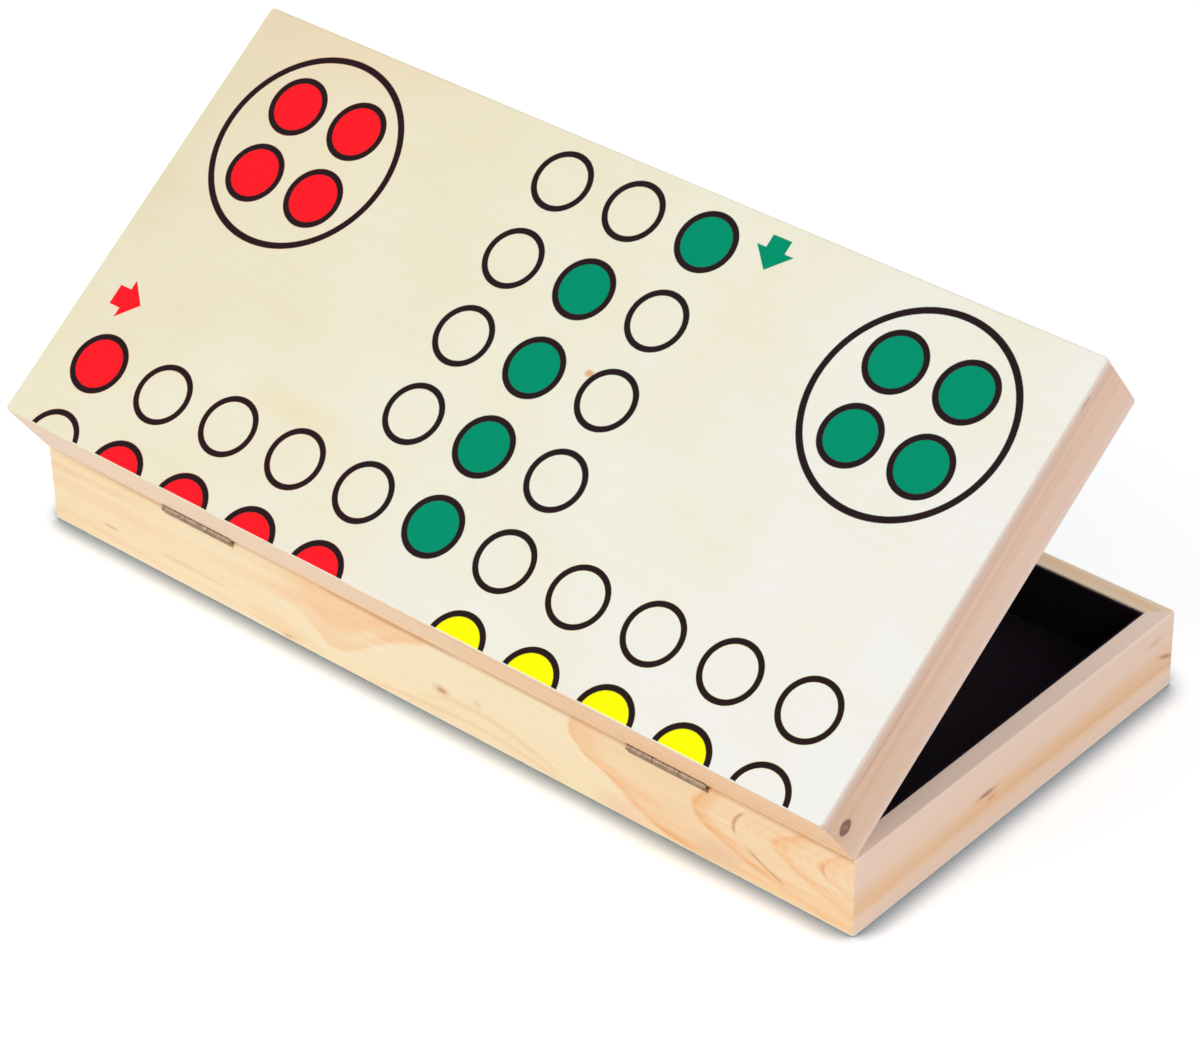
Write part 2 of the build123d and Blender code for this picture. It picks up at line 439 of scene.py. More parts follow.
def drawn_pine(name, on_lid, figure):
    """A wall with a figure of its own."""
    finish = Finish(name)
    return pine_shader(finish, *figure(finish, *board_point(finish, on_lid)))


# The figure of the base's spine side. x runs from the middle of its length and z up from its foot, both
# in millimetres. A curve over x gives heights, and an arch's outline gives x at each height.

SPINE_X = (-120.0, 120.0)
SPINE_Z = (-4.0, 24.0)
ARCH_X = (20.0, 160.0)
FLAME_FOOT = (
    (-120, 12.4), (-70, 11.8), (-46, 11.4), (-40, 10.6), (-36, 9.0), (-32, 6.2), (-28.4, 4.4),
    (-24, 5.6), (-18.6, 8.8), (-14.3, 11.8), (-8.6, 14.9), (-2, 17.4), (5, 20), (120, 24),
)
HILL = (
    (-120, -4), (-12, 2.2), (-4, 3.8), (4, 6.4), (11, 7.8), (20, 7.5), (27, 6.3), (33, 4.7),
    (38, 3.0), (44, 0.6), (54, -4), (120, -4),
)
LOW_HILL = (
    (-120, -4), (-20, 0.6), (-8, 2.2), (2, 2.9), (11, 3.4), (20, 3.4), (27, 2.9), (33, 2.0),
    (38, 0.9), (46, -1.4), (56, -4), (120, -4),
)
FIRST_ARCH = (
    (-4, 110), (0.4, 82), (1.2, 74), (2.1, 69), (3.8, 64), (5.9, 60), (8, 56.4), (9.6, 52.6),
    (11, 48.4), (13.5, 44.2), (15.5, 42.6), (17, 42.4), (19, 42.8), (24, 45),
)
# Outline, strength of the line along it, and strength of the tone inside it
NESTED_ARCHES = (
    (((-4, 135), (1, 114), (2.5, 107), (3.6, 100), (4.8, 95), (6, 91), (7.2, 87), (8.9, 82),
      (10.5, 79), (12, 77.5), (13.5, 76.8), (16, 78), (19, 80.5), (24, 84)), 0.26, 0.26),
    (((-4, 150), (4, 122), (5.5, 118), (8, 110), (9.2, 106.5), (10.5, 103), (12.5, 100),
      (14.2, 99), (16, 100), (18, 103), (24, 112)), 0.16, 0.2),
    (((-4, 150), (9.5, 121), (10.5, 118), (11.5, 115), (12.6, 112.5), (14, 111.2),
      (15, 111.4), (17.5, 114), (24, 122)), 0.2, 0.1),
)


def arch(x, z, outline, rough, line, band, reach):
    """One late-wood arch: how far each place is past its outline, and its tone.

    The tone is a fine line along the outline and a band inside it that fades away from the line.
    """
    past = x - z.curve(outline, SPINE_Z, ARCH_X) + rough
    past = past / (z.below(4.0, 13.0) * 2.2 + 1.0)
    inside = past.above(-0.8, 0.6) * past.below(reach * 0.3, reach)
    inside = inside * (z.above(3.0, 12.0) * 0.7 + 0.3)
    edge = past.within(-0.8, 0.5, 0.9) * (z.above(1.0, 6.0) * 0.6 + 0.4)
    return past, edge * line + inside * band


def streaks_tone(x, z, streaks, wander, ripple):
    """Long soft streaks on the left."""
    level = z + wander * 3.0 + x * 0.012
    left = x.below(-100.0, -66.0)
    warm = streaks.above(0.4, 0.75) * x.below(-60.0, 10.0) * 0.14 + left * 0.09 + 0.14
    warm = warm + year_rings((level + ripple) / 3.1) * x.below(-75.0, -30.0) * 0.06
    warm = warm + level.within(9.4, 11.4, 1.2) * left * 0.18
    return warm + level.within(1.6, 2.6, 1.0) * left * 0.14


def add_flame(warm, x, z, wander):
    """The flame: its foot lies level on the left, dips to a point and runs up to the rim."""
    inside = z - (x.curve(FLAME_FOOT, SPINE_X, SPINE_Z) + wander)
    warm = warm + inside.above(-0.4, 1.0) * (x.above(-64.0, -32.0) * 0.26 + 0.04)
    warm = warm + inside.above(3.0, 7.0) * x.above(-46.0, -34.0) * 0.14
    warm = warm + inside.above(0.0, 2.0) * x.above(-18.0, -8.0) * 0.18
    warm = warm - inside.within(3.0, 5.0, 1.6) * x.above(-34.0, -26.0) * 0.1
    warm = warm + inside.within(-0.2, 0.4, 0.6) * x.within(-70.0, -34.0, 6.0) * 0.2
    return warm + (z - 13.6).within(-0.7, 0.7, 1.2) * x.within(-72.0, -36.0, 8.0) * 0.24


def add_tongue(warm, finish, x, z, wander, ripple):
    """The small tongue below the flame, and the thin line under it."""
    tongue = oval(finish, x, z + (x + 46.0) * 0.1, (-46.0, 3.6), (11.0, 1.9), wander)
    warm = warm + tongue.below(0.5, 1.5) * 0.22
    line = (z - 1.9 + (x + 52.0) * 0.07 + ripple).within(-0.2, 0.2, 0.6)
    return warm + line * x.within(-78.0, -40.0, 6.0) * 0.34


def add_first_arch(warm, x, z, wander):
    """The first long arch, deep orange at its foot."""
    past, tone = arch(x, z, FIRST_ARCH, wander * 2.0, 0.3, 0.18, 11.0)
    warm = warm + tone + past.above(-0.8, 1.2) * 0.26
    warm = warm + past.within(-0.5, 0.3, 0.6) * z.below(10.0, 15.0) * 0.14
    warm = warm + z.within(-1.0, 2.0, 2.2) * x.within(52.0, 76.0, 7.0) * 0.3
    foot = (z - 2.2 + (x - 70.0) * 0.1).within(-0.8, 0.8, 1.4)
    warm = warm + foot * x.within(66.0, 79.0, 4.0) * 0.26
    return warm - z.below(3.0, 7.0) * x.within(84.0, 90.0, 6.0) * 0.06


def add_nested_arches(warm, x, z, wander, ripple):
    for outline, line, band in NESTED_ARCHES:
        past, tone = arch(x, z, outline, wander * 2.0 + ripple * 1.2, line, band, 5.5)
        warm = warm + tone
    nose = x - (z - 14.2) ** 2.0 * 0.17 + ripple * 4.0
    right = x.above(80.0, 96.0)
    return warm + year_rings(nose / 3.3) * right * 0.07 + right * z.below(3.0, 8.0) * 0.08


def spine_marks(finish, x, z, streaks, ridges, ripple):
    """Painted shadow of the lid just under the rim, the hill's ridges, patches, short lines on the
    arches, knots, and a pale foot with a painted highlight.
    """
    # Painted shadow: darker just under the rim, where the lid shades the side
    seam_shadow = z.above(19.0, 19.7) * (x.within(-30.0, 8.0, 4.0) * 0.5 + streaks.above(0.35, 0.6) * 0.5)
    bracket = (x - 87.8 - (z - 13.2) ** 2.0 * 0.12).within(-0.4, 0.4, 0.5)
    slash = (z - 8.9 + (x - 91.8) * 0.47 + ripple).within(-0.3, 0.3, 0.45)
    small_bracket = (x - 111.6 - (z - 14.2) ** 2.0 * 0.3).within(-0.4, 0.4, 0.5)

    def spot(middle, size, *rows):
        return layers(oval(finish, x, z, middle, size, ripple), *rows)

    return (
        (seam_shadow, SEAM_PAINTED_SHADOW, 0.7),
        (ridges, RIDGE_LINE, 0.42),
        *spot((83.5, 3.4), (7.0, 3.4), (0.2, 1.4, GREY_PATCH, 0.4)),
        *spot((56.0, 2.4), (7.0, 2.6), (0.2, 1.4, PINK_PATCH, 0.36)),
        (bracket * z.within(11.6, 17.8, 0.9), BRACKET_BROWN, 0.7),
        (slash * x.within(92.0, 101.0, 1.4), SLASH_BROWN, 0.66),
        (small_bracket * z.within(12.8, 15.6, 0.9), SMALL_BRACKET_BROWN, 0.5),
        *spot((4.6, 8.7), (1.5, 0.75), (0.5, 2.6, KNOT_RIM, 0.4), (0.2, 1.15, KNOT_BROWN, 0.45)),
        *spot((15.4, 10.2), (1.2, 1.0), (0.3, 1.6, KNOT_RIM, 0.24)),
        *spot((-100.6, 6.0), (2.6, 0.5), (0.3, 1.5, KNOT_RIM, 0.5)),
        *spot((-74.0, 5.9), (10.0, 0.5), (0.3, 1.6, ROSY_LINE, 0.4)),
        *spot((-43.0, 1.4), (1.6, 0.4), (0.3, 1.6, KNOT_RIM, 0.5)),
        # A pale foot: the lower arris's paleness and a painted edge highlight
        (z.below(0.4, 1.0), SPINE_FOOT_ARRIS_AND_HIGHLIGHT, 0.4),
    )


def base_spine_figure(finish, x, fold, z):
    """The base's spine side: streaks, a flame, a low hill, and arches that open to the right."""
    grain = finish.vector(x, fold, z)
    wander = finish.sway(grain, (0.03, 0.12, 0.12))
    ripple = finish.sway(grain, (0.12, 0.5, 0.5))
    streaks = finish.placed(grain, scale=(0.01, 0.3, 0.2), shift=(0, 2, 5))
    streaks = finish.noise(streaks, 1.0, 3.0)

    warm = streaks_tone(x, z, streaks, wander, ripple)
    warm = add_flame(warm, x, z, wander)
    warm = add_tongue(warm, finish, x, z, wander, ripple)

    # The hill in the middle, one wave over another
    hill = z - x.curve(HILL, SPINE_X, SPINE_Z) + ripple * 1.2
    low_hill = z - x.curve(LOW_HILL, SPINE_X, SPINE_Z) + ripple * 1.2
    warm = warm + hill.below(-1.4, 0.4) * 0.1
    ridges = hill.within(-0.7, 0.5, 0.8) * x.within(2.0, 38.0, 8.0)
    low_ridge = low_hill.within(-0.4, 0.4, 0.6) * x.within(-14.0, 40.0, 10.0)
    ridges = ridges.calc("MAXIMUM", low_ridge)

    warm = add_first_arch(warm, x, z, wander)
    warm = add_nested_arches(warm, x, z, wander, ripple)
    # The lit copy of the pine: painted light
    return grain, warm, HONEY_LIT, spine_marks(finish, x, z, streaks, ridges, ripple)


# The figures of the other three sides with marks of their own

def base_right_end_figure(finish, x, fold, z):
    """The base's right end: a broad peach band with two small dark knots."""
    grain = finish.vector(fold, x, z)
    wander = finish.sway(grain, (0.02, 0.1, 0.1))
    ripple = finish.sway(grain, (0.2, 0.9, 0.9))
    height = z + wander * 3.0
    warm = height.within(5.0, 11.6, 2.4) * 0.32 + height.within(5.2, 8.4, 1.3) * 0.14 + 0.14
    warm = warm + year_rings(height / 2.4) * 0.04
    knot = oval(finish, fold, z, (45.2, 10.6), (2.4, 0.55), ripple * 0.7)
    under = oval(finish, fold, z, (47.0, 8.6), (1.4, 0.7), ripple)
    tilted = z + (fold - 111.0) * 0.4
    far_knot = oval(finish, fold, tilted, (111.0, 9.2), (2.2, 0.5), ripple * 0.7)
    far_mark = oval(finish, fold, z, (106.0, 15.5), (2.4, 0.7), ripple)
    marks = (
        # Painted light: the rim's top lightened where the lid shades it
        (z.above(19.7, 19.95), END_RIM_PAINTED_LIGHT, 0.95),
        (z.below(1.6, 3.6), END_LOW, 0.4),
        *layers(knot, (0.6, 2.6, KNOT_RIM, 0.4), (0.4, 1.4, END_KNOT, 0.6)),
        *layers(under, (0.4, 1.8, KNOT_RIM, 0.45)),
        *layers(far_knot, (0.6, 2.4, KNOT_RIM, 0.4), (0.4, 1.4, FAR_KNOT, 0.55)),
        *layers(far_mark, (0.4, 1.6, KNOT_RIM, 0.34)),
        # A pale foot: the lower arris's paleness and a painted edge highlight
        (z.below(0.4, 1.0), END_FOOT_ARRIS_AND_HIGHLIGHT, 0.4),
    )
    # The shaded copy of the pine: painted shade
    return grain, warm, BLUSH_SHADED, marks


def lid_spine_figure(finish, x, fold, depth):
    """The lid's spine side: very quiet, pinkish on the left and peach on the right."""
    grain = finish.vector(x, fold, depth)
    wander = finish.sway(grain, (0.012, 0.08, 0.08), (4, 1, 2))
    rings = year_rings((depth + wander * 8.0) / 5.0)
    warm = x.above(-110.0, 130.0) * 0.55 + wander * 0.6 + rings * 0.18 + 0.08
    # The paler lit copy of the pine: painted light
    return grain, warm, STRIP_LIT, ()


def lid_right_end_figure(finish, x, fold, depth):
    """The lid's right end: pinkish tan, with a round dark pin knot at its hinge end."""
    grain = finish.vector(fold, x, depth)
    wander = finish.sway(grain, (0.02, 0.1, 0.1))
    ripple = finish.sway(grain, (0.25, 0.7, 0.7))
    height = depth + wander * 2.5
    warm = height.within(5.6, 10.5, 1.8) * 0.3
    warm = warm + year_rings((height + fold * 0.02) / 3.1) * 0.14 + 0.16
    line = (depth - 4.4 + ripple * 0.8).within(-0.25, 0.25, 0.3) * fold.within(12.0, 30.0, 3.0)
    long_line = (depth - 8.8 + wander * 2.0).within(-0.2, 0.2, 0.4)
    knot = oval(finish, fold, depth, (3.6, 9.0), (1.8, 1.8), ripple * 0.35)
    light = abs(fold - 3.6 - (depth - 9.0) * 0.5).below(0.25, 0.6) * knot.below(0.5, 0.75)
    marks = (
        (fold.below(10.0, 60.0), LID_END_TAN, 0.3),
        (height.within(3.0, 5.2, 0.9), LID_END_BAND, 0.42),
        (line, LID_END_LINE, 0.45),
        (long_line * fold.within(10.0, 52.0, 6.0), LID_END_LONG_LINE, 0.35),
        (depth.above(16.5, 19.0), LID_END_RIM, 0.5),
        *layers(knot, (1.0, 3.2, KNOT_RIM, 0.16), (0.9, 1.25, PIN_KNOT, 0.9)),
        (light, PIN_LIGHT, 0.6),
    )
    # The darker shaded copy of the pine: painted shade
    return grain, warm, TAN_SHADED, marks


# Printed plywood

RED = paint(255, 29, 40)
GREEN = paint(0, 146, 109)
YELLOW = paint(255, 255, 8)
BLUE = paint(32, 50, 170)
LINE = paint(40, 26, 29)

# The face, from nearly neutral to warm, and the marks on it
FACE = (
    (0.0, paint(243, 242, 238)),
    (0.5, paint(240, 236, 215)),
    (1.0, paint(237, 227, 194)),
)
FACE_STREAK = paint(222, 205, 170)
FACE_PORE = paint(205, 182, 145)
FACE_KNOT = paint(226, 160, 96)
FACE_STAIN = paint(242, 220, 170)
FACE_CORNER = paint(238, 212, 176)
FACE_LEFT = paint(226, 208, 182)

# The lid panel's edge on the right end
EDGE_TOP = paint(238, 219, 204)
EDGE_LOW = paint(226, 196, 178)
EDGE_STREAK = paint(214, 178, 154)
EDGE_SPECK = paint(176, 126, 110)

PLY_RELIEF = 0.02

# Soft borders on the ply, in millimetres: how deep the face's tone and its ink reach, and how far in from
# their ends the edges' tones begin and are full
FACE_DEPTH = (0.25, 0.6)
INK_DEPTH = (0.06, 0.16)
END_BORDER = (0.9, 0.5)
QUIET_BORDER = (0.8, 0.4)


def ring_and_disc(distance):
    """The black ring of a field and the disc inside it."""
    ring = distance.within(RING_INNER, RING_OUTER, INK_BLUR)
    disc = distance.below(RING_INNER, (RING_INNER + RING_OUTER) / 2)
    return ring, disc


def track(finish, outward, side, rough):
    """The lines and the coloured discs of the track's fields."""
    cell_out = outward.calc("ROUND")
    cell_side = side.calc("ROUND")
    reach = cell_out.calc("LESS_THAN", TRACK_END) * abs(cell_side).calc("LESS_THAN", TRACK_SIDE)
    reach = reach * cell_out.calc("GREATER_THAN", TRACK_START)
    distance = finish.distance(outward - cell_out, side - cell_side) + rough * INK_WANDER
    ring, disc = ring_and_disc(distance)
    lane = abs(cell_side).calc("LESS_THAN", LANE_SIDE) * cell_out.calc("LESS_THAN", LANE_END)
    start = cell_side.calc("GREATER_THAN", LANE_SIDE) * cell_out.calc("GREATER_THAN", LANE_END)
    return ring * reach, disc * reach * lane.calc("MAXIMUM", start)


def start_arrow(outward, side, rough):
    """The arrow beside each start field."""
    span = abs(side - ARROW_SIDE) + rough * ARROW_WANDER
    out = outward + rough * ARROW_WANDER
    head = (span + ARROW_TIP - out).below(-INK_BLUR, INK_BLUR)
    head = head * out.below(ARROW_NECK, ARROW_NECK + INK_BLUR)
    stem = span.below(ARROW_STEM, ARROW_STEM + INK_BLUR)
    stem = stem * out.within(ARROW_NECK - ARROW_OVERLAP, ARROW_TAIL, INK_BLUR)
    return head.calc("MAXIMUM", stem)


def home(finish, size_u, size_v, rough):
    """The big circle in a corner, and the rings and discs of its four fields."""
    home_u, home_v = size_u - HOME_X, size_v - HOME_Y
    circle = finish.distance(home_u, home_v) + rough * INK_WANDER
    circle = circle.within(HOME_INNER, HOME_OUTER, INK_BLUR)
    seat_u, seat_v = abs(home_u) - HOME_SPACING, abs(home_v) - HOME_SPACING
    return circle, *ring_and_disc(finish.distance(seat_u, seat_v) + rough * INK_WANDER)


def board_print(finish, x, fold, on_lid):
    """The printed board: the ink's colour, and how much of it covers each place."""
    rough = finish.noise(finish.vector(x, fold, 0.0), 1.6, 3.0, 0.6) - 0.5
    across = x / PITCH - PRINT_SHIFT_X
    up = fold / PITCH - PRINT_SHIFT_Y
    if not on_lid:
        up = -up
    u = across + (up - PRINT_MIDDLE) * PRINT_TURN
    v = up - across * PRINT_TURN
    size_u, size_v = abs(u), abs(v)

    # Where each place lies on one arm of the cross: outwards along it, and to its side
    level = size_u.calc("GREATER_THAN", size_v)
    outward = size_u.calc("MAXIMUM", size_v)
    side = v.calc("SIGN") * u * (1.0 - level) - u.calc("SIGN") * v * level
    left = u.calc("LESS_THAN", 0.0)
    arm_colour = finish.blend(YELLOW, RED, left)
    arm_colour = finish.blend(GREEN if on_lid else BLUE, arm_colour, level)
    home_colour = finish.blend(GREEN if on_lid else YELLOW, RED if on_lid else BLUE, left)

    line, fill = track(finish, outward, side, rough)
    arrow = start_arrow(outward, side, rough)
    circle, seat_ring, seat_disc = home(finish, size_u, size_v, rough)
    corner = size_u.calc("MINIMUM", size_v).calc("GREATER_THAN", HOME_CORNER)
    line = line.calc("MAXIMUM", circle * corner).calc("MAXIMUM", seat_ring * corner)

    colour = finish.blend(arm_colour, home_colour, corner)
    colour = finish.blend(colour, LINE, line)
    cover = fill.calc("MAXIMUM", arrow)
    cover = cover.calc("MAXIMUM", seat_disc * corner).calc("MAXIMUM", line)
    return colour, cover


def ply_face(finish, x, fold, on_lid, cloud, mottle, shade, pores):
    """The bare face: warmer towards one end and away from the fold, with a few stains on the lid and its
    far left darker.
    """
    warm = 0.5 - x / BOX_LENGTH * (0.8 if on_lid else -0.2) + fold / HALF_WIDTH * 0.25 - 0.12
    warm = warm + mottle * 0.7 + cloud * 0.35
    colour = finish.colours(warm, *FACE)
    colour = finish.blend(colour, FACE_STREAK, shade.above(0.55, 0.95) * 0.35)
    colour = finish.blend(colour, FACE_PORE, pores * 0.25)
    if not on_lid:
        return colour
    knot = finish.distance((x - 13.0) / 1.1, (fold - 65.2) / 0.8) + cloud
    stain = finish.distance((x + 48.0) / 11.0, (fold - 29.0) / 3.0) + cloud * 2.0
    corner = finish.distance((x + 104.0) / 46.0, (fold - 120.0) / 16.0) + cloud * 1.2 + mottle
    left = x.below(-125.0, -70.0) * fold.above(10.0, 50.0)
    colour = finish.blend(colour, FACE_KNOT, knot.below(0.4, 1.6) * 0.8)
    colour = finish.blend(colour, FACE_STAIN, stain.below(0.2, 1.8) * 0.42)
    colour = finish.blend(colour, FACE_CORNER, corner.below(0.3, 1.6) * 0.45)
    return finish.blend(colour, FACE_LEFT, left * (mottle * 0.7 + 0.26))


def ply_edge(finish, x, fold, depth, on_lid, cloud, shade):
    """The panel's edges, toned like the wood above or below them."""
    long_side = lid_spine_figure if on_lid else base_spine_figure
    edge = pine_coat(finish, *long_side(finish, x, fold, depth))[0]
    if on_lid:
        speck = oval(finish, fold, depth, (103.6, 1.9), (1.8, 0.35), cloud)
        end_edge = finish.blend(EDGE_TOP, EDGE_LOW, (depth + cloud * 1.6).above(0.9, 2.3))
        end_edge = finish.blend(end_edge, EDGE_STREAK, shade.above(0.5, 0.95) * 0.4)
        end_edge = finish.blend(end_edge, EDGE_SPECK, speck.below(0.4, 1.5) * 0.6)
    else:
        end_edge = pine_coat(finish, *base_right_end_figure(finish, x, fold, depth))[0]
    edge = finish.blend(edge, end_edge, abs(x).above(*[END_X - inset for inset in END_BORDER]))
    opening = fold.above(*[HALF_WIDTH - inset for inset in QUIET_BORDER])
    left_end = x.below(*[inset - END_X for inset in reversed(QUIET_BORDER)])
    quiet = opening.calc("MAXIMUM", left_end)
    return finish.blend(edge, finish.colours(shade * 0.5, *QUIET), quiet)


def printed_ply(name, on_lid):
    """Pale three-ply with the board printed on its outer face."""
    finish = Finish(name)
    x, fold, depth = board_point(finish, on_lid)
    grain = finish.vector(x * 0.02, fold * 0.55, depth * 0.55)
    fine = finish.vector(x * 0.05, fold * 3.2, depth * 3.2)
    finest = finish.vector(x * 0.25, fold * 4.0, depth * 4.0)
    cloud = finish.noise(grain, 1.0, 3.0, 0.55) - 0.5
    fibre = finish.noise(fine, 1.0, 3.0, 0.65) - 0.5
    mottle = finish.noise(finish.vector(x, fold, depth), 0.035) - 0.5
    pores = finish.noise(finest, 1.0).above(0.66, 0.8)
    shade = fibre * 0.5 + cloud * 0.5 + 0.5

    colour = ply_face(finish, x, fold, on_lid, cloud, mottle, shade, pores)
    edge = ply_edge(finish, x, fold, depth, on_lid, cloud, shade)
    colour = finish.blend(colour, edge, depth.above(*FACE_DEPTH))

    # The ink lies on the face alone
    ink, cover = board_print(finish, x, fold, on_lid)
    cover = cover * depth.below(*INK_DEPTH)
    printed = finish.blend(ink, WHITE, (shade - 0.5) * 0.12, "SOFT_LIGHT")
    colour = finish.blend(colour, printed, cover)
    relief = fibre * 0.6 + cloud * 0.4 + pores * -0.5 + cover * 0.35
    return finish.dress(
        Base_Color=colour,
        Roughness=0.6 - cover * 0.08 + fibre * 0.12,
        Normal=finish.bump(relief, PLY_RELIEF),
        Specular_IOR_Level=0.03,
    )


# Felt, steel and brass

BLACK_FELT = (
    (0.3, paint(8, 1, 10)),
    (0.6, paint(17, 4, 19)),
    (0.85, paint(36, 14, 38)),
)
HINGE_STEEL = (
    (0.3, paint(120, 100, 84)),
    (0.55, paint(168, 146, 124)),
    (0.8, paint(200, 182, 160)),
)
BRASS = (
    (0.25, paint(150, 108, 50)),
    (0.5, paint(206, 164, 88)),
    (0.8, paint(228, 194, 124)),
)
NAP_RELIEF = 0.25
STEEL_RELIEF = 0.01
BRASS_RELIEF = 0.006


def felt_finish(name):
    finish = Finish(name)
    point = finish.place(False)
    nap = finish.noise(point, 3.2, 4.0, 0.7)
    clumps = finish.noise(point, 0.35, 3.0, 0.6)
    hairs = finish.placed(point, scale=(0.6, 4.0, 4.0), turn=(0.4, 0.3, 0.7))
    hairs = finish.noise(hairs, 1.0, 3.0, 0.7)
    return finish.dress(
        Base_Color=finish.colours(nap * 0.45 + clumps * 0.35 + hairs * 0.3, *BLACK_FELT),
        Roughness=0.92,
        Normal=finish.bump(nap * 0.7 + hairs * 0.5, NAP_RELIEF),
        Sheen_Weight=0.06,
        Sheen_Roughness=0.5,
        Specular_IOR_Level=0.06,
    )


def hinge_finish(name, on_lid):
    finish = Finish(name)
    point = finish.place(on_lid)
    tarnish = finish.noise(point, 0.9, 4.0, 0.6)
    brushed = finish.noise(finish.placed(point, scale=(0.5, 9.0, 9.0)), 1.0)
    return finish.dress(
        Base_Color=finish.colours(tarnish * 0.8 + brushed * 0.25, *HINGE_STEEL),
        Metallic=0.8,
        Roughness=0.4 + tarnish * 0.3,
        Normal=finish.bump(brushed * 0.5 + tarnish * 0.5, STEEL_RELIEF),
    )


def brass_finish(name, on_lid):
    finish = Finish(name)
    point = finish.place(on_lid)
    tarnish = finish.noise(point, 0.7, 4.0, 0.6)
    scratches = finish.placed(point, scale=(0.8, 1, 12.0), turn=(0.2, 0.3, 0.5))
    scratches = finish.noise(scratches, 1.0, 3.0, 0.6)
    return finish.dress(
        Base_Color=finish.colours(tarnish * 0.8 + scratches * 0.2, *BRASS),
        Metallic=1.0,
        Roughness=0.22 + tarnish * 0.28,
        Normal=finish.bump(scratches, BRASS_RELIEF),
    )


# Felt linings

def closed_lid():
    """Turns a piece drawn in the base over, into its place in the open lid."""
    hinge = Vector((0, HINGE_Y, HINGE_Z)) / 1000
    over = Matrix.Rotation(math.pi, 4, "Y")
    swing = Matrix.Rotation(LID_ANGLE, 4, "X")
    middle = Matrix.Translation((0, 0, hinge.z))
    turned = middle @ over @ middle.inverted()
    return Matrix.Translation(hinge) @ swing @ Matrix.Translation(-hinge) @ turned


def felt_strip(length, width, middle, turn):
    """A rectangle of felt laid down, with its back on the wood and a softly uneven nap side."""
    bpy.ops.object.select_all(action="DESELECT")
    cells = [max(2, round(side / FELT_CELL)) for side in (length, width)]
    bpy.ops.mesh.primitive_grid_add(x_subdivisions=cells[0], y_subdivisions=cells[1], size=1.0)
    strip = bpy.context.object
    strip.scale = (length / 1000, width / 1000, 1.0)
    bpy.ops.object.transform_apply(location=False, rotation=False, scale=True)
    bpy.ops.object.mode_set(mode="EDIT")
    bpy.ops.mesh.select_all(action="SELECT")
    bpy.ops.mesh.extrude_region_move(TRANSFORM_OT_translate={"value": (0, 0, FELT / 1000)})
    bpy.ops.mesh.select_all(action="SELECT")
    bpy.ops.mesh.normals_make_consistent(inside=False)
    bpy.ops.object.mode_set(mode="OBJECT")
    bevel = strip.modifiers.new("soft_cut_edge", "BEVEL")
    bevel.width = FELT_CUT / 1000
    bevel.segments = 2
    bevel.limit_method = "ANGLE"
    bpy.ops.object.modifier_apply(modifier=bevel.name)
    for vertex in strip.data.vertices:
        if vertex.co.z > FELT / 2000:
            wave = 0.5 + 0.5 * noise.noise(vertex.co * FELT_RIPPLES_PER_METRE)
            vertex.co.z -= FELT_RIPPLE / 1000 * wave
    strip.location = [value / 1000 for value in middle]
    strip.rotation_euler = turn
    bpy.ops.object.transform_apply()
    bpy.ops.object.shade_smooth_by_angle(angle=math.radians(40))
    return strip


def joined(name, strips):
    """One piece from several strips."""
    bpy.ops.object.select_all(action="DESELECT")
    for strip in strips:
        strip.select_set(True)
    bpy.context.view_layer.objects.active = strips[0]
    if len(strips) > 1:
        bpy.ops.object.join()
    strips[0].name = name
    return strips[0]


floor_length = BOX_LENGTH - 2 * WALL - 2 * FELT_FIT
floor_width = HALF_WIDTH - 2 * WALL - 2 * FELT_FIT
strip_height = HALF_HEIGHT - PANEL - FELT - FELT_SETBACK
strip_middle = PANEL + FELT + strip_height / 2
strip_short = HALF_WIDTH - 2 * WALL - 2 * FELT - 2 * FELT_FIT
wall_length = 2 * (floor_length + strip_short)
upright = math.pi / 2

felt = felt_finish("black_felt")
floor_strip = felt_strip(floor_length, floor_width, (0, 0, PANEL), (0, 0, 0))
floor_felt = joined("base_floor_felt", [floor_strip])
wall_felt = joined("base_wall_felt", [
    felt_strip(floor_length, strip_height, (0, SPINE_Y + WALL, strip_middle), (-upright, 0, 0)),
    felt_strip(floor_length, strip_height, (0, -SPINE_Y - WALL, strip_middle), (upright, 0, 0)),
    felt_strip(strip_short, strip_height, (WALL - END_X, 0, strip_middle), (upright, 0, upright)),
    felt_strip(strip_short, strip_height, (END_X - WALL, 0, strip_middle), (upright, 0, -upright)),
])

for source, kind, flat in (
    (floor_felt, "floor", (floor_width, floor_length)),
    (wall_felt, "wall", (strip_height, wall_length)),
):
    source.data.materials.append(felt)
    copy = source.copy()
    copy.data = source.data.copy()
    copy.name = f"lid_{kind}_felt"
    bpy.context.collection.objects.link(copy)
    copy.data.transform(closed_lid())
    for piece, half in ((source, "base"), (copy, "lid")):
        rests_on = f"{half}_panel" if kind == "floor" else f"{half}_spine_wall"
        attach(piece, half)
        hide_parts(f"{half}_{kind}_lining")
        [side / 1000 for side in flat]


# The CAD nodes' finishes. A plain wall's numbers are its pith, its rings' spacing and their taper.

